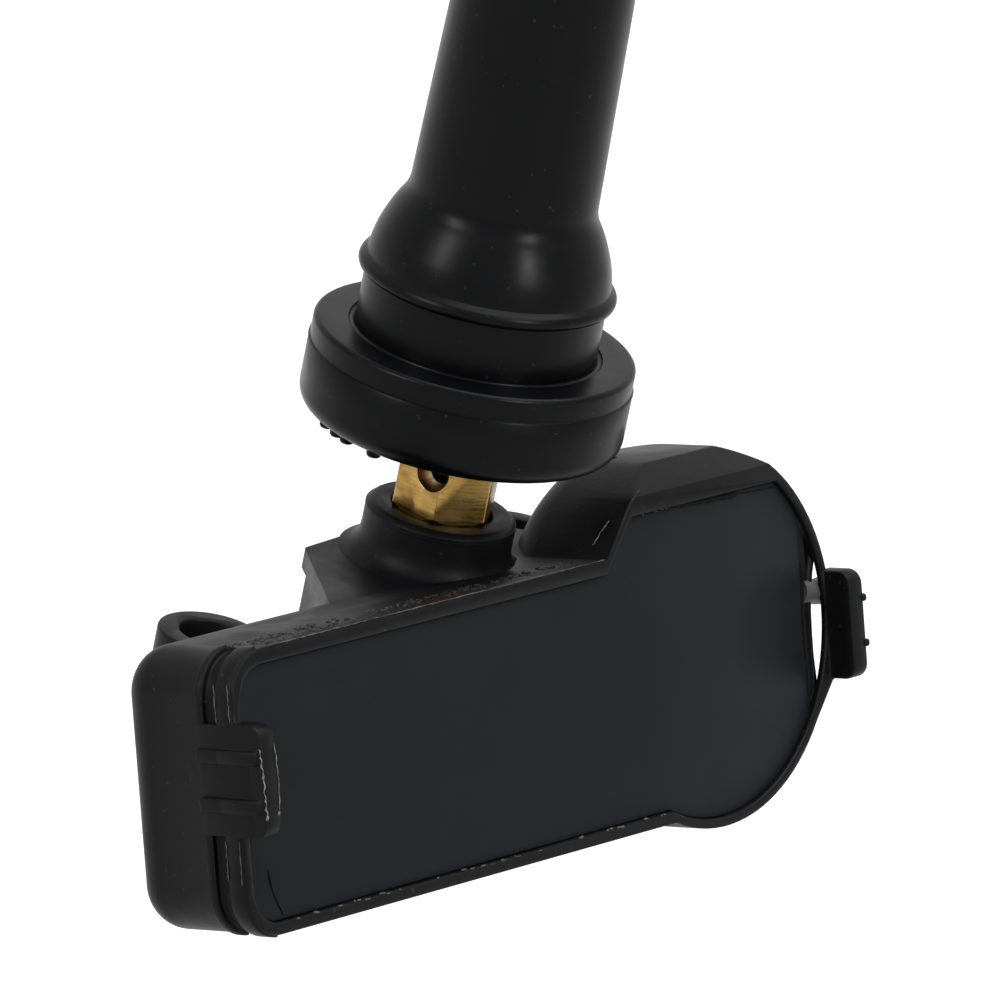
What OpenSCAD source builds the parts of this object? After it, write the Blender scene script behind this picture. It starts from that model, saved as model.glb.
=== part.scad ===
// Tyre pressure sensor on a rubber snap-in valve.
// Origin: centre of the flange face that seats on the inside of the rim.
// +Z runs along the valve towards the cap, X along the module, -Y towards the potted face.

/* [Valve rubber] */
// Diameter of the flange that seats inside the rim
flange_d = 19.5; // [18:0.1:21]
// Thickness of the flange, both mould halves together
flange_h = 5.7; // [4.5:0.1:6.5]
// Height of the upper mould half, down to the parting line
lip_h = 1.5; // [1:0.1:2.5]
// How far the upper mould half is set in from the lower one
lip_step = 0.07; // [0:0.01:0.2]
// Round of the flange's lower edge
flange_round = 1.3; // [0.5:0.1:1.8]
// Diameter of the neck that the rim hole grips
neck_d = 14.6; // [12:0.1:15]
// Height of the neck, up to where it flares into the bead
neck_h = 2.6; // [2:0.1:5]
// Diameter of the snap bead above the neck
bead_d = 15.6; // [15:0.1:16.4]
// Height at which the shoulder above the bead ends in the tube
shoulder_top = 9.5; // [8:0.1:12]
// Diameter of the tube at the shoulder
tube_d = 11.3; // [10.6:0.1:12]
// Diameter of the tube at its top end
tube_top_d = 10.4; // [9.4:0.1:10.5]
// Height of the rubber's top end above the seat
rubber_top = 28; // [24:0.5:32]

/* [Valve stem] */
// Outer diameter of the threaded tip
tip_d = 7.7; // [7.4:0.05:7.9]
// Length of the threaded tip above the rubber
tip_len = 9.5; // [8:0.1:12]
// Outer diameter of the brass inside the rubber
insert_d = 6.9; // [6.6:0.1:7.2]
// Width across the flats of the hexagon below the flange
hex_af = 5.65; // [5.2:0.05:6]
// Diameter of the cross hole that lets the air in
cross_d = 2.1; // [1:0.1:2.4]
// Depth of the cross hole's axis below the seat
cross_z = 8; // [7.2:0.1:8.5]
// Direction of the cross hole around the valve, from -Y towards -X
cross_turn = 73; // [40:1:90]
// Direction of the hexagon's corners around the valve
hex_turn = 30; // [0:1:59]
// Diameter of the air bore
air_d = 2.2; // [1.8:0.1:2.4]
// Diameter of the tapped bore for the retaining screw
tap_d = 3.0; // [2.6:0.1:3.2]

/* [Valve core] */
// Diameter of the threaded plug that holds the core
plug_d = 5.2; // [5:0.05:5.4]
// Length of the threaded plug
plug_len = 4.2; // [3:0.1:5]
// Diameter of the core's barrel
barrel_d = 3.6; // [3.2:0.05:3.8]
// Length of the barrel below the plug
barrel_len = 8; // [6:0.1:9]
// Diameter of the core pin
pin_d = 1.0; // [0.8:0.05:1.2]
// How far the pin can be pressed down
pin_travel = 1.2; // [0.8:0.1:1.6]
// Wire of the core spring
core_wire = 0.3; // [0.2:0.05:0.35]
// Turns of the core spring
core_turns = 6; // [4:1:8]

/* [Valve cap] */
// Outer diameter of the cap across its grip ribs
cap_d = 10; // [9.6:0.1:11]
// Length of the cap
cap_h = 11.4; // [10:0.1:13]
// Length of the cap's internal thread
cap_thread_len = 4.6; // [3.5:0.1:6]
// Number of grip ribs
cap_ribs = 24; // [12:2:32]
// Thickness of the rubber washer in the cap
cap_seal_t = 1.0; // [0.8:0.1:1.5]

/* [Sensor housing] */
// Angle by which the valve leans towards the potted face
lean = 19.35; // [15:0.05:25]
// Distance of the potted face's plane in front of the seat's centre
face_y = 4; // [3.6:0.1:4.6]
// Depth of the moulding, front rim to back wall
depth = 9.05; // [8.6:0.05:9.6]
// Left end of the box from the valve's axis
box_left = 28.7; // [27:0.1:32]
// Top wall of the box below the seat, in the module's tilted frame
box_top = 12.9; // [12.7:0.05:13.2]
// Height of the box
box_h = 16.85; // [16.4:0.05:18]
// Round of the box's left corners, seen from the front
corner_r = 2.8; // [2.6:0.1:3.5]
// Round of the back edges
back_r = 2.3; // [1:0.1:2.4]
// Round of the round end's back edge
lobe_back_r = 3.5; // [2.4:0.1:3.6]
// Distance of the round end's centre to the right of the valve
lobe_x = 15.75; // [15.4:0.05:17]
// Distance of the round end's centre below the seat
lobe_z = 19.15; // [18.8:0.05:19.6]
// Radius of the round end
lobe_r = 11.64; // [11.4:0.02:12]
// Level of the flat on top of the round end
lobe_top = 8.05; // [7.8:0.05:8.6]
// Level of that flat at the front rim
hump_top = 9.6; // [9.3:0.05:10]
// How far back the slope between the two levels reaches
slope_y = 1.7; // [1.2:0.1:4]
// Thickness of the top wall
wall = 0.95; // [0.8:0.05:1.2]
// Thickness of the bottom wall
base_wall = 0.75; // [0.6:0.05:1]
// Thickness of the round end's wall
lobe_wall = 0.6; // [0.5:0.05:0.9]
// Thickness of the wall at the left end
end_wall = 0.6; // [0.5:0.05:1]
// Thickness of the back wall
back_wall = 1.1; // [0.9:0.1:1.4]

/* [Collar and boss] */
// Level of the collar's top rim below the seat
collar_top = 10.92; // [10.6:0.02:11.4]
// Outer diameter of the collar's rim
collar_d = 9.16; // [8.8:0.02:9.6]
// Diameter of the socket for the stem
socket_d = 6.1; // [5.9:0.05:6.4]
// Level of the boss plate below the seat
plate_z = 14.2; // [14:0.05:14.5]
// Width of the boss plate at its back edge
plate_back_w = 13; // [11:0.5:16]
// Width of the boss plate where it meets the box
plate_front_w = 24.4; // [20:0.2:28]
// Distance of the plate's back edge behind the valve's axis
plate_back_y = 4.6; // [4:0.1:6]
// Thickness of the boss plate
plate_t = 1.3; // [1:0.1:2]
// Height of the boss, plate to underside
boss_h = 5; // [4.4:0.1:6]
// Level of the ledge that the stem stands on
ledge_z = 15.5; // [15.2:0.1:16]
// Thickness of that ledge
ledge_t = 1.9; // [1.4:0.1:2.4]
// Diameter of the recess for the screw's head
recess_d = 6.2; // [5.9:0.1:6.6]
// Outer diameter of the ring ears
ear_d = 6.4; // [5.6:0.1:7]
// Hole in the ring ears
ear_hole = 3.8; // [2.8:0.1:4]
// Height of the ring ears
ear_h = 3.2; // [2:0.1:4]

/* [End tabs] */
// Height of the end tabs
tab_h = 6.7; // [5:0.1:8]
// Level of the end tabs' middle below the seat
tab_z = 20.25; // [19.6:0.05:21]
// How far the end tabs stand in front of the rim
tab_y = 1.95; // [1:0.05:2.4]
// Thickness of the end tabs
tab_t = 1.3; // [1:0.05:1.6]
// How far the right tab stands out from the round end
tab_out = 0.7; // [0.3:0.05:1.2]
// Width of the two ribs on each tab
rib_w = 0.85; // [0.5:0.05:1.2]
// Pitch of the two ribs
rib_pitch = 2.85; // [2:0.05:3.4]
// Thickness left between the notch behind the right tab and the cell
notch_wall = 2.2; // [1.5:0.1:2.4]
// Height of that notch
notch_h = 9; // [7:0.1:9.4]
// Distance of the potting's right edge from the valve's axis
potting_x = 25; // [23:0.1:25.2]

/* [Electronics] */
// Level of the potting's surface behind the rim
potting_y = 0.35; // [0.1:0.05:1]
// Room between the circuit board and the coin cell
cell_gap = 0.7; // [0.5:0.05:1]
// Thickness of the circuit board
board_t = 1.0; // [0.6:0.1:1]
// Diameter of the coin cell
cell_d = 20; // [19:0.1:20.4]
// Thickness of the coin cell
cell_t = 3.2; // [2.5:0.1:3.2]
// Side of the square sensor chip
chip_w = 7; // [5:0.1:8]
// Thickness of the sensor chip
chip_t = 2.2; // [1.6:0.1:2.4]
// Diameter of the pressure port through the back wall
port_d = 1.4; // [1:0.1:2]

/* [Retaining screw] */
// Diameter of the screw's thread
screw_d = 2.9; // [2.5:0.05:3.1]
// Diameter of the screw's head
head_d = 5.5; // [5:0.1:5.7]
// Height of the screw's head
head_h = 1.9; // [1.5:0.1:2.4]
// Length of the screw under its head
screw_len = 7; // [6:0.1:7.2]

/* [Hidden] */
$fn = 96;

// Running clearance on the radius between parts that turn or slide in each other
run_fit = 0.05;
// Clearance between parts that are set into each other and don't move
set_fit = 0.05;
// Room around the circuit board
board_gap = 0.3;
// A length longer than the part, for cuts that go right through
far = 80;
// How far a cut passes the face that it opens
over = 1;

// Valve levels
tip_top = rubber_top + tip_len;
hex_r = hex_af / 2;
hex_corner_r = hex_af / sqrt(3);
hex_top = -flange_h + 1.2;
hex_end = -collar_top + 0.65;
groove_r = 0.2;
bead_z = 3.9;
bead_r = 0.5;
// Shares of the shoulder's bulge left at equal steps up to the tube
bulge = [1, 0.964, 0.905, 0.828, 0.728, 0.609, 0.473, 0.314, 0.14, 0.036, 0];
// Moulding pips under one side of the flange
pip_turns = [153, 162, 169, 184];
pip_r = 0.45;
pip_h = 0.35;

// Valve core levels, worked down from the tip
plug_top = tip_top - 0.6;
plug_end = plug_top - plug_len;
barrel_end = plug_end - barrel_len;
pocket_r = plug_d / 2 + run_fit;
barrel_r = barrel_d / 2;
gasket_h = 1.6;
gasket_z = plug_end - 0.4 - gasket_h;
chamber_r = barrel_r + 0.45;
barrel_wall = 0.45;
lip_t = 0.6;
pin_r = pin_d / 2;
pin_top = tip_top - 0.15;
pin_collar_r = barrel_r - barrel_wall - 0.12;
pin_collar_t = 0.6;
pin_collar_z = plug_end - 1.6;
cup_h = 1.8;
cup_r = barrel_r - 0.05;
seal_t = 0.7;
chamber_end = barrel_end - cup_h - pin_travel - 1.4;
core_spring_z = barrel_end + lip_t;
core_spring_h = pin_collar_z - core_spring_z;
core_spring_r = (pin_r + run_fit + pin_collar_r) / 2;

// Cap levels
cap_gap = 0.4;
cap_z = rubber_top + cap_gap;
cap_top = cap_z + cap_h;
thread_r = tip_d / 2 + run_fit;
cap_rib_r = 0.45;
cap_r = cap_d / 2 - cap_rib_r * 0.6;
cap_seal_z = tip_top;
cap_thread_z = tip_top - cap_thread_len;

// Module levels in its tilted frame, where the front rim is at y = 0
z_top = -box_top;
z_bottom = -box_top - box_h;
z_mid = (z_top + z_bottom) / 2;
x_left = -box_left;
flat_z = -lobe_top;
hump_z = -hump_top;
centre_z = -lobe_z;
tab_mid = -tab_z;
x_right = lobe_x + lobe_r;
// The left flank of the hump, a chord across the round end
flank_a = 49.5;
flank_x = 6.18;
flank_tilt = 10.2;
slope_a = atan((flat_z - hump_z) / slope_y);
floor_y = depth - back_wall;
hump_wall = 1.15;
flank_wall = 0.6;
lobe_floor = depth - lobe_back_r + 0.5;
floor_step = 0.6;
// The raised band around the left end
band_out = 0.15;
band_x = -26.1;
band_front = 0.2;
band_mid = 1.3;
band_back = 2.35;
band_end = 2.95;
band_dip = 0.3;
// The boss column that carries the screw
column_r = socket_d / 2 + 1.35;
column_end = 22;
boss_end = plate_z + boss_h;
flare_r = 1.25;
collar_neck_r = collar_d / 2 - 0.2;
collar_foot_r = collar_neck_r + flare_r;
lip_z = 0.75;
plate_front_y = -2.5;
plate_lip = 0.25;
// Seats of the two ring ears, across the back
ear_left = [-19.3, 0.5, -15.8];
ear_right = [10.7, 2, -15];
// The notch behind the right tab, and the rib that bounds the potting
notch_rib = 0.75;
notch_x = potting_x + notch_rib;
notch_mid = tab_mid - 0.55;
notch_front = 0.5;
root_high = 1.7;
root_low = 0.6;
tab_round = 0.9;
tab_back = 0.4;
left_tab_back = 2.5;
rib_out = 0.32;

// Electronics levels
cell_room = 0.2;
cell_rim = 0.7;
cell_back = floor_y - cell_room;
cell_front = cell_back - cell_t;
cell_r = cell_d / 2;
board_back = cell_front - cell_gap;
board_y = board_back - board_t;
notch_y = cell_front - cell_room - notch_wall;
strip_t = 0.15;
strip_w = 0.15 * cell_d;
chip_x = -0.453 * box_left;
chip_z = z_mid - 0.675;
lid_t = 0.25;
gasket_y = board_back + chip_t + lid_t;
coil_x = x_left + 6.2;
coil_z = z_top - 4.5;
coil_l = 7.4;
coil_d = 2.6;
coil_bar = 1.6;
coil_lift = 0.5;
coil_flange_t = 0.9;
crystal_x = x_left + 6.5;
crystal_z = z_bottom + 3.55;
crystal_size = [5, 1.1, 3.2];
antenna_wire = 0.8;
antenna_y = board_back + 2.6;
antenna_x = [-0.61 * box_left, 0.087 * box_left];
antenna_z = z_bottom + 2.35;
part_size = [1.6, 0.8, 0.8];
capacitors = [
    [-8.2, z_mid + 4.325], [-8.2, z_mid + 2.325], [-5.6, z_mid - 3.275], [-2.2, z_mid - 3.275]
];
resistors = [[-17.6, z_top - 2.7], [-15.4, z_top - 2.7]];
inductor_at = [1.4, z_mid - 2.875];

// Moves what follows into the tilted frame of the module
module tilted() {
    translate([0, -face_y, 0]) rotate([-lean, 0, 0]) children();
}

// Extrudes an outline drawn in X and Z along Y, from y0 back to y1
module along_y(y0, y1) {
    translate([0, y1, 0]) rotate([90, 0, 0]) linear_extrude(y1 - y0) children();
}

// A disc or ring profile turned about an axis along Y, radius in X and depth in Y
module turned_y(x, z) {
    translate([x, 0, z]) rotate([-90, 0, 0]) rotate_extrude() children();
}

// A bar between two heights on the valve's axis
module post(r, z0, z1) {
    translate([0, 0, z0]) cylinder(r = r, h = z1 - z0);
}

// A rectangle whose two left corners are rounded
module left_round(x0, x1, z0, z1, r) {
    translate([x0 + r, z0]) square([x1 - x0 - r, z1 - z0]);
    translate([x0, z0 + r]) square([r + 0.01, z1 - z0 - 2 * r]);
    for (z = [z0 + r, z1 - r]) translate([x0 + r, z]) circle(r);
}

// The upper left limit of the hump: its flat top and its slanting flank, set in by the walls
module hump_limit(top_in, flank_in, box_in) {
    edge = flank_in / sin(flank_a);
    low = flank_x + edge - box_in / tan(flank_a);
    high = flank_x + edge + (hump_z - top_in - z_top) / tan(flank_a);
    polygon([
        [-far, -far], [-far, z_top - box_in], [low, z_top - box_in],
        [high, hump_z - top_in], [far, hump_z - top_in], [far, -far]
    ]);
}

// The outline of the room inside the walls, drawn a further gap in from them
module inside_outline(gap) {
    left = end_wall + gap;
    left_round(x_left + left, lobe_x, z_bottom + base_wall + gap, z_top - wall - gap, corner_r - left);
    intersection() {
        translate([lobe_x, centre_z]) circle(lobe_r - lobe_wall - gap);
        hump_limit(hump_wall + gap, flank_wall + gap, wall + gap);
    }
}

// The part of that room that lies in the box
module box_outline(gap) {
    left = end_wall + gap;
    left_round(x_left + left, lobe_x, z_bottom + base_wall + gap, z_top - wall - gap, corner_r - left);
}

// The long part of the box, with rounded corners and back edges
module box_body() {
    inner_r = corner_r - back_r;
    y_edge = depth - back_r;
    along_y(0, y_edge) left_round(x_left, lobe_x, z_bottom, z_top, corner_r);
    along_y(0, depth) left_round(x_left + back_r, lobe_x, z_bottom + back_r, z_top - back_r, inner_r);
    for (z = [z_bottom + back_r, z_top - back_r]) translate([x_left + corner_r, y_edge, z])
        rotate([0, 90, 0]) cylinder(r = back_r, h = lobe_x - x_left - corner_r);
    translate([x_left + back_r, y_edge, z_bottom + corner_r])
        cylinder(r = back_r, h = box_h - 2 * corner_r);
    for (z = [z_bottom + corner_r, z_top - corner_r]) turned_y(x_left + corner_r, z) union() {
        square([inner_r, depth]);
        intersection() {
            translate([inner_r, y_edge]) circle(back_r);
            square([corner_r, depth]);
        }
    }
}

// The round end, with its flat top, the slope to the front rim and the cut flank
module lobe_body() {
    difference() {
        turned_y(lobe_x, centre_z) union() {
            square([lobe_r, depth - lobe_back_r]);
            square([lobe_r - lobe_back_r, depth]);
            translate([lobe_r - lobe_back_r, depth - lobe_back_r]) circle(lobe_back_r);
        }
        translate([-far / 2, -over, flat_z]) cube([far, far, far]);
        translate([-far / 2, 0, hump_z]) rotate([slope_a, 0, 0])
            translate([0, -far / 2, 0]) cube([far, far, far]);
        translate([flank_x, 0, z_top]) rotate([0, -flank_a, 0]) rotate([flank_tilt, 0, 0])
            translate([-far / 2, -far / 2, 0]) cube([far, far, far]);
    }
}

// One rail of the band that wraps the left end
module band_rail(y0, y1) {
    intersection() {
        along_y(y0, y1) left_round(
            x_left - band_out, lobe_x, z_bottom - band_out, z_top + band_out, corner_r + band_out
        );
        translate([x_left - over, -over, z_bottom - over])
            cube([band_x - x_left + over, depth, box_h + 2 * over]);
    }
}

// The groove between the two rails
module band_groove() {
    difference() {
        translate([x_left - over, band_mid, z_bottom - over])
            cube([band_x - x_left + over, band_back - band_mid, box_h + 2 * over]);
        along_y(0, depth) left_round(
            x_left + band_dip, lobe_x, z_bottom + band_dip, z_top - band_dip, corner_r - band_dip
        );
    }
}

// An end tab with rounded front corners and two ribs; side is -1 on the left, 1 on the right
module end_tab(x_out, y_back, side) {
    round_r = tab_round;
    x0 = side < 0 ? x_out : x_out - tab_t;
    y_end = y_back - round_r;
    translate([x0, 0, 0]) rotate([90, 0, 90]) linear_extrude(tab_t) union() {
        translate([-tab_y + round_r, tab_mid - tab_h / 2]) square([y_back + tab_y - round_r, tab_h]);
        translate([-tab_y, tab_mid - tab_h / 2 + round_r]) square([round_r + 0.01, tab_h - 2 * round_r]);
        for (s = [-1, 1]) translate([-tab_y + round_r, tab_mid + s * (tab_h / 2 - round_r)])
            circle(round_r);
    }
    for (s = [-1, 1]) {
        translate([
            side < 0 ? x_out - rib_out : x_out - 0.1, -tab_y + 0.25, tab_mid + s * rib_pitch / 2 - rib_w / 2
        ]) cube([rib_out + 0.1, y_end + tab_y - 0.25, rib_w]);
    }
}

// Where the round end's outline is at the level z
function rim_x(z) = lobe_x + lobe_r * cos(asin((z - centre_z) / lobe_r));

// The rim's swelling that carries the right tab, in the front view
module tab_root() {
    x_out = x_right + tab_out;
    x_in = x_out - tab_t * 0.7;
    high = notch_mid + notch_h / 2 + root_high;
    low = notch_mid - notch_h / 2 - root_low;
    difference() {
        polygon([
            [lobe_x, high], [rim_x(high), high],
            [x_in, tab_mid + tab_h / 2], [x_out - 0.01, tab_mid + tab_h / 2 - tab_round],
            [x_out - 0.01, tab_mid - tab_h / 2 + tab_round], [x_in, tab_mid - tab_h / 2],
            [rim_x(low), low], [lobe_x, low]
        ]);
        translate([lobe_x, centre_z]) circle(lobe_r - lobe_wall);
    }
}

// The boss plate's outline, in the plane across the valve's axis
module plate_outline(inset) {
    back = plate_back_w / 2 - inset;
    front = plate_front_w / 2 - inset;
    back_y = plate_back_y - inset;
    polygon([
        [-front, plate_front_y - over], [-front, plate_front_y], [-back, back_y],
        [0, back_y + 0.5], [back, back_y], [front, plate_front_y], [front, plate_front_y - over]
    ]);
}

// The collar around the stem, a lip over a hollow flare
module collar() {
    rotate_extrude() difference() {
        translate([0, -plate_z - over]) square([collar_foot_r, plate_z + over - collar_top]);
        translate([collar_foot_r, -plate_z + flare_r]) circle(flare_r);
        translate([collar_neck_r, -plate_z + flare_r])
            square([flare_r + over, plate_z - flare_r - collar_top - lip_z]);
        translate([collar_d / 2, -collar_top - lip_z - 0.01]) square([over * 2, lip_z + over]);
        translate([collar_d / 2, -collar_top]) rotate(45) square(0.5, center = true);
    }
}

// A ring ear across the valve's axis, with the web that ties it to the back wall
module ear(at) {
    web = 1.5;
    translate([at[0], at[1], at[2] - ear_h]) cylinder(d = ear_d, h = ear_h);
    translate([at[0] - ear_d / 2, at[1] - ear_d / 2 - web, at[2] - ear_h])
        cube([ear_d, ear_d / 2 + web, ear_h]);
}

// Everything that the moulding adds to the box on its outside
module housing_solid() {
    tilted() {
        box_body();
        lobe_body();
        band_rail(band_front, band_mid);
        band_rail(band_back, band_end);
    }
    collar();
    translate([0, 0, -plate_z - plate_t]) linear_extrude(plate_t) plate_outline(0);
    translate([0, 0, -boss_end]) linear_extrude(boss_end - plate_z) plate_outline(plate_lip);
    ear(ear_left);
    ear(ear_right);
}

// The room for the board, the cell and the potting
module cavity() {
    tilted() {
        along_y(-over, lobe_floor) intersection() {
            inside_outline(0);
            translate([-far, -far]) square([far + potting_x, 2 * far]);
        }
        along_y(notch_y + notch_rib, lobe_floor) inside_outline(0);
        // the floor of the box, stepped in along its edges
        along_y(notch_y + notch_rib, floor_y - floor_step) box_outline(0);
        along_y(notch_y + notch_rib, floor_y) box_outline(floor_step);
        // the cell's round pocket, which reaches up under the flat top
        turned_y(lobe_x, centre_z) union() {
            translate([0, cell_front - cell_room])
                square([cell_r + cell_room, cell_t + 2 * cell_room - cell_rim]);
            translate([0, cell_front - cell_room])
                square([cell_r + cell_room - cell_rim, floor_y - cell_front + cell_room]);
            translate([cell_r + cell_room - cell_rim, floor_y - cell_rim]) circle(cell_rim);
        }
        along_y(-over, notch_front) inside_outline(0);
        along_y(-over, notch_y) intersection() {
            inside_outline(0);
            translate([notch_x, -far]) square(2 * far);
        }
    }
}

module housing() {
    color("#1c1d1f") difference() {
        union() {
            difference() {
                union() {
                    housing_solid();
                    tilted() end_tab(x_left - band_out, left_tab_back, -1);
                }
                cavity();
                tilted() band_groove();
                // nothing of the ears or the boss stands in the potted face's side
                tilted() translate([-far, -far, -far]) cube([2 * far, far, 2 * far]);
            }
            post(column_r, -boss_end, -plate_z);
            intersection() {
                post(column_r, -column_end, -boss_end + 0.01);
                tilted() translate([-far, -far, -far]) cube([2 * far, far + depth, 2 * far]);
            }
            tilted() {
                intersection() {
                    end_tab(x_left - band_out, left_tab_back, -1);
                    translate([-far, -far, -far]) cube([2 * far, far + potting_y, 2 * far]);
                }
                end_tab(x_right + tab_out, tab_back, 1);
                along_y(0, tab_back) tab_root();
            }
        }
        post(socket_d / 2, -ledge_z, 0);
        post(screw_d / 2 + 0.25, -ledge_z - ledge_t - over, -ledge_z + over);
        post(recess_d / 2, -far, -ledge_z - ledge_t);
        for (at = [ear_left, ear_right]) {
            translate([at[0], at[1], at[2] - ear_h - over]) cylinder(d = ear_hole, h = ear_h + 2 * over);
        }
        tilted() {
            translate([notch_x, tab_back, notch_mid - notch_h / 2]) cube([far, notch_y - tab_back, notch_h]);
            translate([chip_x, floor_y - over, chip_z]) rotate([-90, 0, 0])
                cylinder(d = port_d, h = back_wall + 2 * over);
        }
    }
}

module potting() {
    color("#3a3f40") tilted() along_y(potting_y, board_y) intersection() {
        inside_outline(set_fit);
        translate([-far, -far]) square([far + potting_x - set_fit, 2 * far]);
    }
}

module circuit_board() {
    color("#1d5a35") tilted() along_y(board_y, board_back) intersection() {
        inside_outline(board_gap);
        translate([-far, -far]) square([far + potting_x - board_gap, 2 * far]);
    }
}

module coin_cell() {
    rim = cell_rim;
    color("#c9cbcc") tilted() turned_y(lobe_x, centre_z) union() {
        translate([0, cell_front]) square([cell_r - 1.3, cell_t]);
        translate([0, cell_front + 0.3]) square([cell_r - rim, cell_t - 0.3]);
        translate([0, cell_front + 0.3 + rim]) square([cell_r, cell_t - 0.3 - 2 * rim]);
        for (y = [cell_front + 0.3 + rim, cell_back - rim]) translate([cell_r - rim, y]) circle(rim);
    }
}

// Welded on the can's back, bent round its side and down to the board
module battery_tab_plus() {
    leg_x = lobe_x - cell_r - 0.5;
    w = strip_w;
    color("#d8d4c6") tilted() {
        translate([leg_x, cell_back, centre_z - w / 2]) cube([0.45 * cell_d, strip_t, w]);
        translate([leg_x, board_back, centre_z - w / 2])
            cube([strip_t, cell_back + strip_t - board_back, w]);
        translate([leg_x - 1.2, board_back, centre_z - w / 2]) cube([1.2 + strip_t, strip_t, w]);
    }
}

// Welded on the lid, between the cell and the board
module battery_tab_minus() {
    l = 0.4 * cell_d;
    color("#d8d4c6") tilted() translate([lobe_x - l / 2, board_back, centre_z - strip_w / 2])
        cube([l, cell_front - board_back, strip_w]);
}

module sensor_chip() {
    color("#26282b") tilted() translate([chip_x - chip_w / 2, board_back, chip_z - chip_w / 2])
        cube([chip_w, chip_t, chip_w]);
}

// The steel lid of the chip, with the hole over its pressure cell
module chip_lid() {
    color("#b9bcbf") tilted() difference() {
        translate([chip_x - chip_w / 2 + 0.6, board_back + chip_t, chip_z - chip_w / 2 + 0.6])
            cube([chip_w - 1.2, lid_t, chip_w - 1.2]);
        translate([chip_x, board_back, chip_z]) rotate([-90, 0, 0]) cylinder(d = port_d, h = 10);
    }
}

// The silicone tube that joins the lid's hole to the port in the back wall
module port_gasket() {
    color("#8a3b34") tilted() turned_y(chip_x, chip_z)
        translate([port_d / 2, gasket_y]) square([1.3, floor_y - gasket_y]);
}

module crystal() {
    color("#c4c6c8") tilted() translate([
        crystal_x - crystal_size[0] / 2, board_back, crystal_z - crystal_size[2] / 2
    ]) cube(crystal_size);
}

// The ferrite of the wake-up coil, with a flange at each end
module antenna_core() {
    color("#2e2f33") tilted() {
        translate([coil_x - coil_l / 2, board_back + coil_lift, coil_z - coil_bar / 2])
            cube([coil_l, coil_bar, coil_bar]);
        for (x = [-coil_l / 2, coil_l / 2 - coil_flange_t]) {
            translate([coil_x + x, board_back, coil_z - coil_d / 2]) cube([coil_flange_t, coil_d, coil_d]);
        }
    }
}

module antenna_winding() {
    wind_l = coil_l - 2 * coil_flange_t;
    wind_t = 0.4;
    wind_w = coil_bar + 2 * wind_t;
    color("#b36a2e") tilted() difference() {
        translate([coil_x - wind_l / 2, board_back + coil_lift - wind_t, coil_z - wind_w / 2])
            cube([wind_l, wind_w, wind_w]);
        translate([coil_x - coil_l, board_back + coil_lift, coil_z - coil_bar / 2])
            cube([2 * coil_l, coil_bar, coil_bar]);
    }
}

// The transmitter's wire bridge along the lower edge of the board
module radio_antenna() {
    r = antenna_wire / 2;
    span = antenna_x[1] - antenna_x[0];
    color("#c8a25a") tilted() {
        for (x = antenna_x) {
            translate([x, board_back, antenna_z]) rotate([-90, 0, 0])
                cylinder(r = r, h = antenna_y - board_back);
            translate([x, antenna_y, antenna_z]) sphere(r);
        }
        translate([antenna_x[0], antenna_y, antenna_z]) rotate([0, 90, 0]) cylinder(r = r, h = span);
    }
}

// A small block on the board at a place given in X and Z
module board_part(at, size, shade) {
    color(shade) tilted() translate([at[0] - size[0] / 2, board_back, at[1] - size[2] / 2]) cube(size);
}

module valve_rubber() {
    flange_r = flange_d / 2;
    insert_r = insert_d / 2;
    shoulder_r = tube_d / 2;
    color("#17181a") difference() {
        rotate_extrude() difference() {
            union() {
                // lower mould half of the flange
                translate([0, -flange_h]) square([flange_r + lip_step - flange_round, flange_h]);
                translate([0, -flange_h + flange_round])
                    square([flange_r + lip_step, flange_h - flange_round - lip_h]);
                translate([flange_r + lip_step - flange_round, -flange_h + flange_round]) circle(flange_round);
                // upper mould half
                translate([0, -lip_h]) square([flange_r, lip_h - 0.25]);
                translate([0, -lip_h]) square([flange_r - 0.25, lip_h]);
                translate([flange_r - 0.25, -0.25]) circle(0.25);
                // neck, bead and shoulder
                translate([0, -0.1]) square([neck_d / 2, neck_h + 0.1]);
                polygon([
                    [0, neck_h], [neck_d / 2, neck_h], [bead_d / 2 - bead_r, bead_z - bead_r],
                    [bead_d / 2 - bead_r, bead_z + bead_r], [0, bead_z + bead_r]
                ]);
                translate([bead_d / 2 - bead_r, bead_z]) circle(bead_r);
                polygon(concat([[0, bead_z]], shoulder_points(), [[0, shoulder_top]]));
                // tube up to the tip
                polygon([
                    [0, shoulder_top - 0.01], [shoulder_r, shoulder_top - 0.01],
                    [tube_top_d / 2, rubber_top - 0.6], [tube_top_d / 2 - 0.6, rubber_top], [0, rubber_top]
                ]);
            }
            // shallow ring groove where the neck meets the flange
            translate([neck_d / 2 + groove_r, 0]) circle(groove_r);
            // the brass goes through
            translate([-1, -far]) square([insert_r + 1, 2 * far]);
        }
    }
    color("#17181a") for (turn = pip_turns) rotate([0, 0, turn])
        translate([flange_r - flange_round + 0.1, 0, -flange_h - pip_h]) cylinder(r = pip_r, h = pip_h + 0.6);
}

// The share of the bulge at the height i, counted in steps of the list, eased between its values
function bulge_at(i) =
    let (n = len(bulge) - 1, k = min(floor(i), n - 1), u = i - k)
    let (a = bulge[max(k - 1, 0)], b = bulge[k], c = bulge[k + 1], d = bulge[min(k + 2, n)])
    b + u * (c - a + u * (2 * a - 5 * b + 4 * c - d + u * (3 * b - a - 3 * c + d))) / 2;

// The shoulder's outline, from the bead up to the tube
function shoulder_points() = [
    for (i = [0:0.5:len(bulge) - 1])
        let (low = bead_z + 0.6, high = low + i / (len(bulge) - 1) * (shoulder_top - low))
        [tube_d / 2 + (bead_d / 2 - 0.44 - tube_d / 2) * bulge_at(i), high]
];

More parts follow.
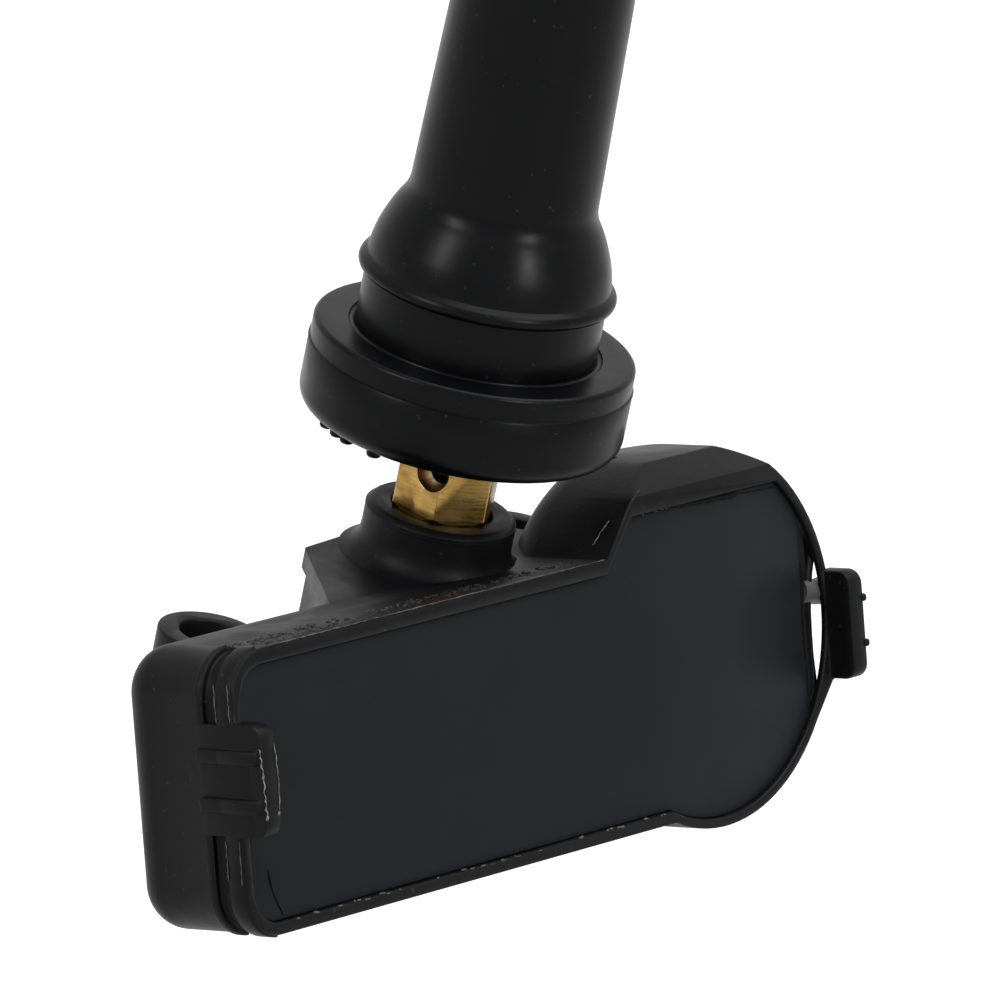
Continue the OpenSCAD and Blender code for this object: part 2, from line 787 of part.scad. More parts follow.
module valve_stem() {
    insert_r = insert_d / 2;
    color("#c79a4b") difference() {
        union() {
            // round shank that stands in the socket
            post(socket_d / 2 - 0.25, -ledge_z, hex_end);
            intersection() {
                translate([0, 0, hex_end - 0.9]) rotate([0, 0, hex_turn])
                    cylinder(r = hex_corner_r, h = hex_top - hex_end + 0.9, $fn = 6);
                // the turned chamfer at the hexagon's lower end
                translate([0, 0, hex_end - 0.9]) cylinder(r1 = hex_r - 0.1, r2 = hex_r + 8, h = 8);
            }
            post(insert_r, -flange_h, rubber_top + over);
            post(tip_d / 2, rubber_top, tip_top - 0.4);
            translate([0, 0, tip_top - 0.4]) cylinder(r1 = tip_d / 2, r2 = tip_d / 2 - 0.4, h = 0.4);
        }
        post(tap_d / 2, -ledge_z - over, -cross_z - cross_d);
        post(air_d / 2, -cross_z - cross_d - over, rubber_top);
        post(chamber_r, chamber_end, tip_top);
        post(pocket_r, gasket_z + gasket_h, tip_top + over);
        translate([0, 0, -cross_z]) rotate([90, 0, -cross_turn]) cylinder(d = cross_d, h = far, center = true);
    }
}

// The threaded plug, with its two grip flats on top
module core_plug() {
    color("#cfa65a") difference() {
        union() {
            post(plug_d / 2, plug_end, plug_top - 1.2);
            intersection() {
                post(plug_d / 2 - 0.3, plug_top - 1.3, plug_top);
                translate([-far / 2, -0.9, 0]) cube([far, 1.8, far]);
            }
        }
        post(pin_r + run_fit, plug_end - over, plug_top + over);
        for (s = [-1, 1]) translate([0, s * 1.75, plug_end - over]) cylinder(d = 0.9, h = plug_len + 2);
    }
}

module core_barrel() {
    color("#cfa65a") rotate_extrude() difference() {
        translate([0, barrel_end]) square([barrel_r, barrel_len]);
        translate([-1, barrel_end - over]) square([1 + pin_r + run_fit, barrel_len + 2 * over]);
        translate([-1, barrel_end + lip_t]) square([1 + barrel_r - barrel_wall, barrel_len]);
    }
}

module core_gasket() {
    color("#e7e4da") rotate_extrude() translate([barrel_r + 0.02, gasket_z])
        square([chamber_r - barrel_r - 0.04, gasket_h]);
}

module core_pin() {
    color("#b98d45") {
        post(pin_r, barrel_end - cup_h, pin_top);
        post(pin_collar_r, pin_collar_z, pin_collar_z + pin_collar_t);
    }
}

module core_cup() {
    color("#cfa65a") rotate_extrude() difference() {
        translate([0, barrel_end - cup_h]) square([cup_r, cup_h - 0.25]);
        translate([-1, -far]) square([1 + pin_r, 2 * far]);
        translate([-1, barrel_end - seal_t]) square([1 + cup_r - 0.3, 1]);
    }
}

module core_seal() {
    color("#2a2422") rotate_extrude() translate([pin_r, barrel_end - seal_t])
        square([cup_r - 0.3 - pin_r, seal_t]);
}

// Height of the spring's wire after t turns: the end turns lie closed, the others are open
function spring_rise(t) =
    let (open = (core_spring_h - 3 * core_wire) / (core_turns - 2))
    core_wire * (min(t, 1) + max(t - core_turns + 1, 0)) + open * min(max(t - 1, 0), core_turns - 2);

// A round wire wound upwards in a helix, with a flat at each end
module core_spring() {
    sides = 8;
    steps = core_turns * 18;
    wire_r = core_wire / 2;
    points = [
        for (i = [0:steps], j = [0:sides - 1])
            let (turn = i * core_turns / steps, a = 360 * turn, b = 360 * j / sides)
            let (r = core_spring_r + wire_r * cos(b), z = wire_r + spring_rise(turn))
            [r * cos(a), r * sin(a), core_spring_z + z + wire_r * sin(b)]
    ];
    function corner(i, j) = i * sides + j % sides;
    faces = [
        [for (j = [sides - 1:-1:0]) corner(0, j)],
        for (i = [0:steps - 1], j = [0:sides - 1]) each [
            [corner(i, j), corner(i, j + 1), corner(i + 1, j + 1)],
            [corner(i, j), corner(i + 1, j + 1), corner(i + 1, j)]
        ],
        [for (j = [0:sides - 1]) corner(steps, j)]
    ];
    color("#c9ccd0") polyhedron(points, faces);
}

module valve_cap() {
    color("#141517") difference() {
        union() {
            post(cap_r, cap_z, cap_top - 1);
            translate([0, 0, cap_top - 1]) cylinder(r1 = cap_r, r2 = cap_r - 1, h = 1);
            for (i = [0:cap_ribs - 1]) rotate([0, 0, i * 360 / cap_ribs])
                translate([cap_r - cap_rib_r * 0.4, 0, cap_z + 0.8])
                    cylinder(r = cap_rib_r, h = cap_h - 3, $fn = 24);
        }
        post(thread_r + 0.25, cap_z - over, cap_thread_z);
        post(thread_r, cap_thread_z - over, cap_seal_z + cap_seal_t);
    }
}

module cap_seal() {
    color("#2b2b2d") rotate_extrude() translate([1.4, cap_seal_z])
        square([tip_d / 2 - 1.4, cap_seal_t]);
}

module retaining_screw() {
    head_z = -ledge_z - ledge_t;
    drive_r = 0.85;
    color("#8d9196") difference() {
        union() {
            post(screw_d / 2, head_z - 0.01, head_z + screw_len);
            post(head_d / 2, head_z - head_h + 0.5, head_z);
            translate([0, 0, head_z - head_h]) cylinder(r1 = head_d / 2 - 0.6, r2 = head_d / 2, h = 0.5);
        }
        post(drive_r, head_z - head_h - over, head_z - head_h + 1.1);
        for (i = [0:5]) rotate([0, 0, 60 * i]) translate([drive_r, 0, head_z - head_h - over])
            cylinder(d = 0.5, h = 1.1 + over, $fn = 24);
    }
}

valve_rubber();
valve_stem();
core_plug();
core_barrel();
core_gasket();
core_pin();
core_cup();
core_seal();
core_spring();
valve_cap();
cap_seal();
retaining_screw();
housing();
potting();
circuit_board();
coin_cell();
battery_tab_plus();
battery_tab_minus();
sensor_chip();
chip_lid();
port_gasket();
crystal();
antenna_core();
antenna_winding();
radio_antenna();
board_part(capacitors[0], part_size, "#b08d63");  // capacitor_1
board_part(capacitors[1], part_size, "#b08d63");  // capacitor_2
board_part(capacitors[2], part_size, "#b08d63");  // capacitor_3
board_part(capacitors[3], part_size, "#b08d63");  // capacitor_4
board_part(inductor_at, [2, 1.2, 1.6], "#5b5d61");  // inductor_1
board_part(resistors[0], part_size, "#1a1a1c");  // resistor_1
board_part(resistors[1], part_size, "#1a1a1c");  // resistor_2
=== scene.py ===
"""Looks of the tyre pressure sensor: finishes, moulded edges, the poured face, the flash with painted
highlights, painted shade in gaps and cracks, and the studio.
"""
import math
import random

import bpy
import bmesh
from mathutils import Matrix, Vector
from mathutils.bvhtree import BVHTree


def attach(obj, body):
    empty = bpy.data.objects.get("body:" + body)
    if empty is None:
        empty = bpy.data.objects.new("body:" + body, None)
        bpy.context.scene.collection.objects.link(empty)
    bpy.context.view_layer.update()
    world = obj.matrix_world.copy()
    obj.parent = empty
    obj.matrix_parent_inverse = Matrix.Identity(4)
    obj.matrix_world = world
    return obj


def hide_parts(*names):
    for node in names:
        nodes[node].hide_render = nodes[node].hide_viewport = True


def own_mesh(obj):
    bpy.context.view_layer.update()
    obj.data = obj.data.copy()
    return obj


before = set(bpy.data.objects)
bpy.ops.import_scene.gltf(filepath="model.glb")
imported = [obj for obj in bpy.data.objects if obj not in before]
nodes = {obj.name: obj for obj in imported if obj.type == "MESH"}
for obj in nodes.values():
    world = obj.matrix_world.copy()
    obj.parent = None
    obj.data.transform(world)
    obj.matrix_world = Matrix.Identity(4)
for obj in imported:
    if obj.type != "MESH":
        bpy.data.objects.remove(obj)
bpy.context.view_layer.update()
scene = bpy.context.scene

MM = 0.001
SAME_PLACE = 0.001 * MM
# The module leans by this angle about X, and its front rim passes this far in front of the valve's axis.
LEAN = math.radians(-19.35)
FACE_Y = -4.0
LEAN_COS = math.cos(LEAN)
LEAN_SIN = math.sin(LEAN)


def at_module(x, y, z):
    """A place in the leaning module, in mm: y is 0 at its front rim and grows to the back."""
    return Vector((x, FACE_Y + y * LEAN_COS - z * LEAN_SIN, y * LEAN_SIN + z * LEAN_COS)) * MM


def in_module(point):
    """The same place read back from the scene, in mm."""
    x, y, z = point / MM
    y -= FACE_Y
    return Vector((x, y * LEAN_COS + z * LEAN_SIN, -y * LEAN_SIN + z * LEAN_COS))


# Finishes. Pattern scales are in features per metre, and depths of relief in metres.

CLOUD_SCALE = 260
WAVE_SCALE = 700
DUST_SCALE = 2600
FILM_SCALE = 420
DUST_COLOUR = (0.16, 0.16, 0.155)


def new_finish(name, colour, roughness, metallic=0.0, specular=0.5):
    """A material with its shader, ready for colour variation and relief."""
    material = bpy.data.materials.new(name)
    material.use_nodes = True
    tree = material.node_tree
    shader = tree.nodes["Principled BSDF"]
    shader.inputs["Base Color"].default_value = (*colour, 1)
    shader.inputs["Roughness"].default_value = roughness
    shader.inputs["Metallic"].default_value = metallic
    shader.inputs["Specular IOR Level"].default_value = specular
    place = tree.nodes.new("ShaderNodeTexCoord")
    return material, tree, shader, place.outputs["Object"]


def grain(tree, place, scale, detail=3.0, rough=0.55, stretch=None):
    """A noise pattern, drawn out along the axes that stretch makes small."""
    if stretch:
        mapping = tree.nodes.new("ShaderNodeMapping")
        mapping.inputs["Scale"].default_value = stretch
        tree.links.new(place, mapping.inputs["Vector"])
        place = mapping.outputs["Vector"]
    texture = tree.nodes.new("ShaderNodeTexNoise")
    texture.inputs["Scale"].default_value = scale
    texture.inputs["Detail"].default_value = detail
    texture.inputs["Roughness"].default_value = rough
    tree.links.new(place, texture.inputs["Vector"])
    return texture.outputs["Fac"]


def ramp(tree, value, low, high, low_out, high_out):
    """Maps a value from one range to another, held at both ends."""
    node = tree.nodes.new("ShaderNodeMapRange")
    node.inputs["From Min"].default_value = low
    node.inputs["From Max"].default_value = high
    node.inputs["To Min"].default_value = low_out
    node.inputs["To Max"].default_value = high_out
    tree.links.new(value, node.inputs["Value"])
    return node.outputs["Result"]


def blend_colours(tree, value, first, second):
    """A colour that goes from the first to the second with a value from 0 to 1."""
    mix = tree.nodes.new("ShaderNodeMix")
    mix.data_type = "RGBA"
    for socket, colour in (("A", first), ("B", second)):
        if isinstance(colour, tuple):
            mix.inputs[socket].default_value = (*colour, 1)
        else:
            tree.links.new(colour, mix.inputs[socket])
    tree.links.new(value, mix.inputs["Factor"])
    return mix.outputs["Result"]


def relief(tree, shader, heights):
    """Bumps the surface by a list of (value, depth in metres), one on top of another."""
    normal = None
    for value, depth in heights:
        bump = tree.nodes.new("ShaderNodeBump")
        bump.inputs["Strength"].default_value = 1.0
        bump.inputs["Distance"].default_value = depth
        tree.links.new(value, bump.inputs["Height"])
        if normal:
            tree.links.new(normal, bump.inputs["Normal"])
        normal = bump.outputs["Normal"]
    tree.links.new(normal, shader.inputs["Normal"])


def moulded_finish(name, colour, roughness, specular, fine, depth, mottle=0.18, spread=0.08, specks=0.0):
    """Moulded rubber or plastic: a fine grain, slow unevenness, a colour that varies a little, and dust."""
    material, tree, shader, place = new_finish(name, colour, roughness, specular=specular)
    cloud = grain(tree, place, CLOUD_SCALE, 4.0)
    fleck = grain(tree, place, fine, 2.0, 0.6)
    wave = grain(tree, place, WAVE_SCALE, 2.0, 0.4)
    dark = tuple(c * (1 - mottle) for c in colour)
    light = tuple(c * (1 + mottle) for c in colour)
    shade = blend_colours(tree, ramp(tree, cloud, 0.35, 0.65, 0, 1), dark, light)
    if specks:
        dust = grain(tree, place, DUST_SCALE, 1.0, 0.5)
        shade = blend_colours(tree, ramp(tree, dust, 0.73, 0.78, 0, specks), shade, DUST_COLOUR)
    tree.links.new(shade, shader.inputs["Base Color"])
    dull = ramp(tree, cloud, 0.3, 0.7, roughness - spread, roughness + spread)
    tree.links.new(dull, shader.inputs["Roughness"])
    relief(tree, shader, [(wave, depth * 3), (fleck, depth)])
    return material


def metal_finish(name, colour, roughness, stretch, line_scale, depth, tarnish=None):
    """Turned, drawn or rolled metal: fine lines along one direction, and a dull film in patches."""
    material, tree, shader, place = new_finish(name, colour, roughness, metallic=1.0)
    line = grain(tree, place, line_scale, 3.0, 0.6, stretch)
    cloud = grain(tree, place, FILM_SCALE, 4.0)
    film = tarnish or tuple(c * 0.72 for c in colour)
    shade = blend_colours(tree, ramp(tree, cloud, 0.38, 0.66, 0, 1), colour, film)
    shade = blend_colours(tree, ramp(tree, line, 0.45, 0.75, 0, 0.55), shade, film)
    tree.links.new(shade, shader.inputs["Base Color"])
    dull = ramp(tree, line, 0.3, 0.7, roughness - 0.07, roughness + 0.1)
    tree.links.new(dull, shader.inputs["Roughness"])
    relief(tree, shader, [(line, depth)])
    return material


NYLON = moulded_finish(
    "glass_filled_nylon", (0.0034, 0.0035, 0.0040),
    roughness=0.44, specular=0.09, fine=5200, depth=0.000008, specks=0.10,
)
RUBBER = moulded_finish(
    "valve_rubber_black", (0.0015, 0.0016, 0.0020),
    roughness=0.31, specular=0.085, fine=7000, depth=0.000003, spread=0.05, specks=0.08,
)
RESIN = moulded_finish(
    "poured_resin", (0.0082, 0.0087, 0.0098),
    roughness=0.50, specular=0.08, fine=4200, depth=0.000004, mottle=0.06,
)
# Flash and splinters are torn moulding flash, and their colour, much lighter than the nylon, is partly
# painted highlight of lit edges and painted glints.
FLASH_AND_GLINT = moulded_finish(
    "torn_flash_painted_glint", (0.13, 0.125, 0.11),
    roughness=0.6, specular=0.4, fine=6000, depth=0.000014, mottle=0.35,
)
SPLINTER_AND_GLINT = moulded_finish(
    "moulding_splinters_and_painted_glints", (0.050, 0.048, 0.044),
    roughness=0.6, specular=0.4, fine=6000, depth=0.000014, mottle=0.5,
)
ROUGH_EDGE = moulded_finish(
    "rough_nylon_crumbs", (0.007, 0.007, 0.007),
    roughness=0.4, specular=0.2, fine=6000, depth=0.000014, mottle=0.6,
)
WEB = moulded_finish(
    "thin_nylon_web", (0.055, 0.055, 0.057),
    roughness=0.5, specular=0.4, fine=5200, depth=0.000006, mottle=0.25,
)
# A black finish with little gloss, for painted shade: it stands for the shade inside gaps, cracks and beside
# the slit.
PAINTED_SHADE_BLACK = moulded_finish(
    "painted_shade_black", (0.0015, 0.0015, 0.0015),
    roughness=0.8, specular=0.1, fine=6000, depth=0.000002,
)
CAP_PLASTIC = moulded_finish(
    "cap_plastic_black", (0.0045, 0.0046, 0.0051),
    roughness=0.40, specular=0.12, fine=6000, depth=0.000006,
)
BRASS = metal_finish(
    "turned_brass", (0.50, 0.34, 0.11),
    roughness=0.30, stretch=(0.06, 0.06, 1.0), line_scale=7000, depth=0.0000045, tarnish=(0.24, 0.14, 0.035),
)
CORE_BRASS = metal_finish(
    "core_brass", (0.80, 0.63, 0.33),
    roughness=0.28, stretch=(0.2, 0.2, 1.0), line_scale=5000, depth=0.000004,
)
ZINC = metal_finish(
    "zinc_plate", (0.58, 0.60, 0.63),
    roughness=0.34, stretch=(1.0, 1.0, 0.3), line_scale=3000, depth=0.000004,
)
BRIGHT_STEEL = metal_finish(
    "drawn_steel", (0.66, 0.67, 0.68),
    roughness=0.26, stretch=(1.0, 0.2, 1.0), line_scale=3500, depth=0.000003,
)
NICKEL = metal_finish(
    "nickel_strip", (0.66, 0.64, 0.58),
    roughness=0.32, stretch=(0.2, 1.0, 1.0), line_scale=4000, depth=0.000003,
)
COPPER = metal_finish(
    "lacquered_copper", (0.66, 0.34, 0.15),
    roughness=0.30, stretch=(1.0, 0.1, 0.1), line_scale=5000, depth=0.00002,
)
TINNED = metal_finish(
    "tinned_wire", (0.70, 0.60, 0.42),
    roughness=0.30, stretch=(0.2, 1.0, 1.0), line_scale=4000, depth=0.000003,
)
SEAL = moulded_finish(
    "seal_rubber", (0.022, 0.020, 0.019),
    roughness=0.55, specular=0.3, fine=6000, depth=0.000008,
)
PTFE = moulded_finish(
    "pressed_gasket", (0.70, 0.68, 0.62),
    roughness=0.45, specular=0.4, fine=3000, depth=0.000004, mottle=0.05,
)
SILICONE = moulded_finish(
    "red_silicone", (0.36, 0.12, 0.09),
    roughness=0.5, specular=0.35, fine=3000, depth=0.000006, mottle=0.08,
)
SOLDER_MASK = moulded_finish(
    "green_solder_mask", (0.03, 0.14, 0.06),
    roughness=0.35, specular=0.5, fine=3000, depth=0.000006, mottle=0.2,
)
FERRITE = moulded_finish(
    "ground_ferrite", (0.035, 0.035, 0.038),
    roughness=0.55, specular=0.4, fine=5000, depth=0.000010,
)
CERAMIC = moulded_finish(
    "fired_ceramic", (0.48, 0.36, 0.22),
    roughness=0.5, specular=0.4, fine=5000, depth=0.000006, mottle=0.1,
)
EPOXY = moulded_finish(
    "chip_epoxy", (0.025, 0.025, 0.028),
    roughness=0.5, specular=0.35, fine=6000, depth=0.000008,
)

NODE_FINISH = {
    "valve_rubber": RUBBER, "valve_stem": BRASS, "core_plug": CORE_BRASS, "core_barrel": CORE_BRASS,
    "core_gasket": PTFE, "core_pin": CORE_BRASS, "core_cup": CORE_BRASS, "core_seal": SEAL,
    "core_spring": BRIGHT_STEEL, "valve_cap": CAP_PLASTIC, "cap_seal": SEAL, "retaining_screw": ZINC,
    "housing": NYLON, "potting": RESIN, "circuit_board": SOLDER_MASK, "coin_cell": BRIGHT_STEEL,
    "battery_tab_plus": NICKEL, "battery_tab_minus": NICKEL, "sensor_chip": EPOXY, "chip_lid": BRIGHT_STEEL,
    "port_gasket": SILICONE, "crystal": BRIGHT_STEEL, "antenna_core": FERRITE, "antenna_winding": COPPER,
    "radio_antenna": TINNED, "capacitor_1": CERAMIC, "capacitor_2": CERAMIC, "capacitor_3": CERAMIC,
    "capacitor_4": CERAMIC, "inductor_1": FERRITE, "resistor_1": EPOXY, "resistor_2": EPOXY,
}
for node_name, finish in NODE_FINISH.items():
    mesh = nodes[node_name].data
    mesh.materials.clear()
    mesh.materials.append(finish)


# Working on a piece

def pick(piece):
    """Makes one piece the only selected and the active one."""
    bpy.ops.object.select_all(action="DESELECT")
    piece.select_set(True)
    bpy.context.view_layer.objects.active = piece


def edit(piece, mode="FACE"):
    """Opens a piece in edit mode, to work on its points, edges or faces."""
    pick(piece)
    bpy.ops.object.mode_set(mode="EDIT")
    bpy.ops.mesh.select_mode(type=mode)


def done():
    """Leaves edit mode."""
    bpy.ops.object.mode_set(mode="OBJECT")


def settle(piece):
    """Puts the piece's place into its mesh."""
    pick(piece)
    bpy.ops.object.transform_apply(location=True, rotation=True, scale=True)


def modify(piece, kind, **values):
    """Adds a modifier and applies it."""
    pick(piece)
    modifier = piece.modifiers.new(kind, kind)
    for key, value in values.items():
        setattr(modifier, key, value)
    bpy.ops.object.modifier_apply(modifier=modifier.name)


def smooth(piece, angle):
    """Shades smoothly, and keeps the edges sharper than an angle in degrees."""
    pick(piece)
    bpy.ops.object.shade_smooth_by_angle(angle=math.radians(angle))


def tidy_skin(piece):
    """Merges doubled points and turns the faces outwards."""
    edit(piece)
    bpy.ops.mesh.select_all(action="SELECT")
    bpy.ops.mesh.remove_doubles(threshold=SAME_PLACE)
    bpy.ops.mesh.normals_make_consistent(inside=False)
    done()


def joined(pieces):
    """One piece from several."""
    bpy.ops.object.select_all(action="DESELECT")
    for piece in pieces:
        piece.select_set(True)
    bpy.context.view_layer.objects.active = pieces[0]
    bpy.ops.object.join()
    return pieces[0]


def dress(piece, name, material, body, replaced=None):
    """Names a finished piece, gives it its finish, and hangs it on its body."""
    piece.name = name
    piece.data.name = name
    piece.data.materials.clear()
    piece.data.materials.append(material)
    if replaced:
        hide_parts(replaced)
    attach(piece, body)


# Rounding the edges of a CAD copy

CAD_MERGE = 0.01 * MM
FLAT_WITHIN = math.radians(0.6)
RUNS_ON = -0.9
LONG_CHAIN = 20 * MM
SHARE_OF_ROOM = 0.45
STRAY = 1.2
DRAW = 0.8


def merged_copy(node_name):
    """A copy of a CAD node with its triangles joined and its flat faces made whole."""
    piece = bpy.data.objects.new(node_name + "_copy", nodes[node_name].data.copy())
    scene.collection.objects.link(piece)
    edit(piece)
    bpy.ops.mesh.select_all(action="SELECT")
    bpy.ops.mesh.remove_doubles(threshold=CAD_MERGE)
    bpy.ops.mesh.dissolve_limited(angle_limit=FLAT_WITHIN)
    done()
    return piece


def outward(edge, corner):
    """The heading of an edge, seen from one of its ends."""
    return (edge.other_vert(corner).co - corner.co).normalized()


def edge_chains(shell, angle):
    """The sharp edges, gathered into lines that run on smoothly."""
    sharp = {edge for edge in shell.edges if edge.is_manifold and edge.calc_face_angle(0) > angle}
    chains, seen = [], set()
    for start in shell.edges:
        if start not in sharp or start in seen:
            continue
        seen.add(start)
        chain, queue = [start], [start]
        while queue:
            edge = queue.pop()
            for corner in edge.verts:
                for other in corner.link_edges:
                    runs_on = outward(other, corner).dot(outward(edge, corner)) < RUNS_ON
                    if other in sharp and other not in seen and runs_on:
                        seen.add(other)
                        chain.append(other)
                        queue.append(other)
        chains.append(chain)
    return chains


def room_beside(chain):
    """How wide a round the edges beside a chain leave room for, at each of its edges."""
    members = set(chain)
    rooms = []
    for edge in chain:
        room = 1.0
        for corner in edge.verts:
            for other in corner.link_edges:
                if other not in members and set(other.link_faces) & set(edge.link_faces):
                    reach = outward(other, corner).cross(outward(edge, corner)).length
                    room = min(room, reach * other.calc_length())
        rooms.append(room)
    return sorted(rooms)


def weigh_edges(piece, width, angle):
    """Marks the sharp edges for rounding, and narrows the round of a whole chain where room is short."""
    shell = bmesh.new()
    shell.from_mesh(piece.data)
    weight = shell.edges.layers.float.new("bevel_weight_edge")
    for chain in edge_chains(shell, angle):
        rooms = room_beside(chain)
        long_chain = sum(edge.calc_length() for edge in chain) > LONG_CHAIN
        room = rooms[len(rooms) // 5] if long_chain else rooms[0]
        for edge in chain:
            edge[weight] = min(1, SHARE_OF_ROOM * room / width)
    shell.to_mesh(piece.data)
    shell.free()


def draw_back(piece, surface, width):
    """Draws the few corners that a round threw off the surface back among their neighbours."""
    shell = bmesh.new()
    shell.from_mesh(piece.data)
    for _ in range(6):
        strays = {corner for corner in shell.verts if surface.find_nearest(corner.co)[3] > STRAY * width}
        if not strays:
            break
        moves = {}
        for corner in strays:
            near = [edge.other_vert(corner) for edge in corner.link_edges]
            firm = [other.co for other in near if other not in strays] or [other.co for other in near]
            moves[corner] = min(firm, key=lambda place: (place - corner.co).length).copy()
        for corner, place in moves.items():
            corner.co = corner.co.lerp(place, DRAW)
    shell.to_mesh(piece.data)
    shell.free()


def round_edges(piece, width):
    """Gives the sharp edges of a CAD copy the small rounds that moulded and turned edges have."""
    surface = BVHTree.FromObject(piece, bpy.context.evaluated_depsgraph_get())
    weigh_edges(piece, width, math.radians(28))
    modify(
        piece, "BEVEL", width=width, segments=2, limit_method="WEIGHT",
        use_clamp_overlap=False, harden_normals=False,
    )
    draw_back(piece, surface, width)


def softened(node_name, width):
    """A copy of a CAD node with the small rounds that its edges have, as wide in mm as width says."""
    piece = merged_copy(node_name)
    round_edges(piece, width * MM)
    smooth(piece, 40)
    return piece


# Shapes that the new pieces start from

def turned(profile, sides=144):
    """A turned piece on the valve's axis, from a closed list of (radius, height) in mm."""
    bpy.ops.object.select_all(action="DESELECT")
    radius, height = profile[0]
    bpy.ops.mesh.primitive_circle_add(vertices=sides, radius=radius * MM, location=(0, 0, height * MM))
    piece = bpy.context.object
    settle(piece)
    edit(piece, "VERT")
    bpy.ops.mesh.select_all(action="SELECT")
    for next_radius, next_height in profile[1:] + profile[:1]:
        rise = (0, 0, (next_height - height) * MM)
        bpy.ops.mesh.extrude_region_move(TRANSFORM_OT_translate={"value": rise})
        grow = next_radius / radius
        bpy.ops.transform.resize(value=(grow, grow, 1), center_override=(0, 0, 0))
        radius, height = next_radius, next_height
    done()
    tidy_skin(piece)
    return piece


def arc(centre_r, centre_z, radius, start, end, steps):
    """Points on a round of a turned profile; angles are counted from outwards to upwards."""
    angles = [math.radians(start + (end - start) * i / steps) for i in range(steps + 1)]
    return [(centre_r + radius * math.cos(a), centre_z + radius * math.sin(a)) for a in angles]


def strand(points, radii, sides=6):
    """A closed thread through a list of places, as thick in mm as the radii say."""
    bpy.ops.object.select_all(action="DESELECT")
    heading = (points[1] - points[0]).to_track_quat("Z", "Y").to_euler()
    bpy.ops.mesh.primitive_circle_add(
        vertices=sides, radius=radii[0] * MM, location=points[0], rotation=heading, fill_type="NGON"
    )
    piece = bpy.context.object
    settle(piece)
    edit(piece)
    bpy.ops.mesh.select_all(action="SELECT")
    for place, last, radius, last_radius in zip(points[1:], points, radii[1:], radii):
        bpy.ops.mesh.extrude_region_move(TRANSFORM_OT_translate={"value": place - last})
        grow = radius / last_radius
        bpy.ops.transform.resize(value=(grow, grow, grow), center_override=place)
    done()
    tidy_skin(piece)
    return piece


def torn_line(ends, *, thick, wander, count, seed, thin=0.2):
    """A ragged thread between places in the module. It is as thick in mm as thick says, and by its share
    thin at the least, and it strays by wander."""
    chance = random.Random(seed)
    points, radii = [], []
    for i in range(count + 1):
        share = i / count * (len(ends) - 1)
        leg = min(int(share), len(ends) - 2)
        place = Vector(ends[leg]).lerp(Vector(ends[leg + 1]), share - leg)
        stray = [chance.uniform(-wander, wander) for _ in range(3)]
        points.append(at_module(*(place + Vector(stray))))
        radii.append(thick * chance.uniform(thin, 1.0) * (0.35 if i in (0, count) else 1))
    return strand(points, radii, 5)


def chip(place, size, *, seed):
    """A small torn crumb of plastic, in mm, at a place in the module."""
    bpy.ops.object.select_all(action="DESELECT")
    bpy.ops.mesh.primitive_ico_sphere_add(subdivisions=2, radius=1)
    piece = bpy.context.object
    edit(piece, "VERT")
    bpy.ops.mesh.select_all(action="SELECT")
    bpy.ops.transform.resize(value=tuple(s * MM for s in size), center_override=(0, 0, 0))
    bpy.ops.transform.vertex_random(offset=min(size) * 0.5 * MM, seed=seed)
    bpy.ops.transform.translate(value=at_module(*place))
    done()
    return piece


def round_corners(piece, width):
    """Rounds the corners of a small moulded shape; width is in mm."""
    modify(piece, "BEVEL", width=width * MM, segments=3, limit_method="ANGLE", angle_limit=math.radians(50))


def bar(low, high, width):
    """A small moulded bar with rounded edges, between two corners given in the module, in mm."""
    low, high = Vector(low), Vector(high)
    bpy.ops.object.select_all(action="DESELECT")
    bpy.ops.mesh.primitive_cube_add(size=1, location=at_module(*((low + high) / 2)), rotation=(LEAN, 0, 0))
    piece = bpy.context.object
    piece.scale = (high - low) * MM
    settle(piece)
    round_corners(piece, width)
    smooth(piece, 40)
    return piece


# The valve's rubber body. Its sizes are in mm.

FLANGE_R = 9.75
LIP_STEP = 0.07
FLANGE_H = 5.7
LIP_H = 1.5
FLANGE_ROUND = 1.3
NECK_R = 7.3
GROOVE_R = 0.2
BEAD_Z = 3.9
BEAD_R = 0.5
SHOULDER_LOW = 4.5
SHOULDER_TOP = 9.5
BULGE = (1.71, 1.65, 1.55, 1.42, 1.245, 1.04, 0.81, 0.54, 0.24, 0.06, 0.0)
TUBE_R = 5.65
TUBE_TOP_R = 5.2
RUBBER_TOP = 28.0
INSERT_R = 3.45
PIP_R = 0.46
PIP_TURNS = (153, 162, 169, 184)


def shoulder_profile():
    """The shoulder, eased through its bulge from the bead up to the tube."""
    last = len(BULGE) - 1
    points = []
    for i in range(4 * last):
        k, u = divmod(i / 4, 1)
        k = int(k)
        a, b = BULGE[max(k - 1, 0)], BULGE[k]
        c, d = BULGE[k + 1], BULGE[min(k + 2, last)]
        bulge = b + u * (c - a + u * (2 * a - 5 * b + 4 * c - d + u * (3 * b - a - 3 * c + d))) / 2
        points.append((TUBE_R + bulge, SHOULDER_LOW + (SHOULDER_TOP - SHOULDER_LOW) * i / 4 / last))
    return points


